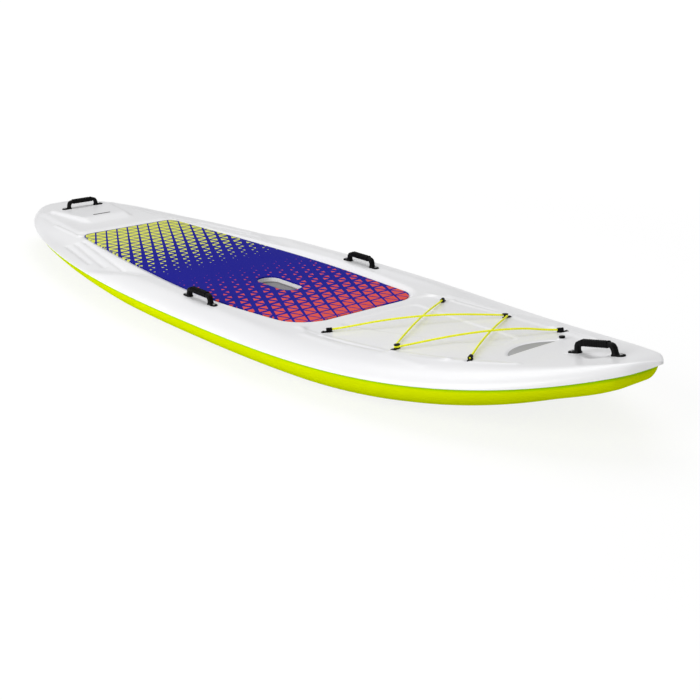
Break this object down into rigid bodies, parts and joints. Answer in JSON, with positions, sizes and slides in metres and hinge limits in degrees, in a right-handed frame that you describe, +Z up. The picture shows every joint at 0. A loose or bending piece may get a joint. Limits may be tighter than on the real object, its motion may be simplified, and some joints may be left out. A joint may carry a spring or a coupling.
{
  "type": "stand up paddleboard",
  "caption": "Rigid two-shell stand up paddleboard with standing pad, carry well, strap handles, laced bow bungee, vent plug and fin box.",
  "frame": {"origin": "on the flat that the hull rests on, under the middle of the board's length and width", "axes": "+X towards the bow, +Y to port, +Z up from the hull to the deck"},
  "size_m": [3.2, 0.8804, 0.2647],
  "materials": {
    "deck_abs": "gloss white formed plastic, the deck and its recesses",
    "hull_abs": "gloss lime formed plastic",
    "foam": "rigid white foam, sealed inside",
    "pad_foam": "soft grooved foam sheet, a fade from yellow through blue to coral",
    "grey_liner": "satin grey",
    "badge_grey": "satin grey, bare",
    "black_nylon": "satin black",
    "grip_rubber": "soft black, ribbed",
    "seal_rubber": "black ring",
    "bungee": "yellow braided elastic cord",
    "steel": "satin stainless steel",
    "black_steel": "black coated steel"
  },
  "bodies": {
    "board": {"deck_shell": "deck_abs", "hull_shell": "hull_abs", "foam_stringer_port": "foam", "foam_stringer_starboard": "foam", "foam_block_bow": "foam", "foam_block_stern": "foam", "deck_pad": "pad_foam", "carry_well_liner": "grey_liner", "bow_badge_plate": "badge_grey", "stern_strip": "badge_grey", "handle_screws": "steel", "handle_backing_plates": "steel", "bungee_hook_screws": "black_steel", "bungee_cord_starboard": "bungee", "bungee_cord_port": "bungee", "vent_insert": "deck_abs", "fin_box": "black_nylon", "bow_handle": "black_nylon", "bow_handle_grip": "grip_rubber", "stern_handle": "black_nylon", "stern_handle_grip": "grip_rubber", "port_handle": "black_nylon", "port_handle_grip": "grip_rubber", "starboard_handle": "black_nylon", "starboard_handle_grip": "grip_rubber", "bungee_hook_port_aft": "black_nylon", "bungee_hook_port_middle": "black_nylon", "bungee_hook_port_forward": "black_nylon", "bungee_hook_starboard_aft": "black_nylon", "bungee_hook_starboard_middle": "black_nylon", "bungee_hook_starboard_forward": "black_nylon"},
    "vent_travel": {"vent_seal": "seal_rubber"},
    "vent_turn": {"vent_plug": "black_nylon"}
  },
  "joints": [
    {"name": "vent_rise", "type": "slide", "parent": "board", "child": "vent_travel", "axis": [-0.1047, 0.0216, 0.9943], "range_m": [0, 0.012]},
    {"name": "vent_unscrew", "type": "hinge", "parent": "vent_travel", "child": "vent_turn", "pos_m": [1.18, 0.117, 0.17946], "axis": [-0.1047, 0.0216, 0.9943], "range_deg": [0, 2880]}
  ],
  "couplings": [
    {"joint": "vent_rise", "follows": "vent_unscrew", "m_per_rad": 0.00023873}
  ]
}
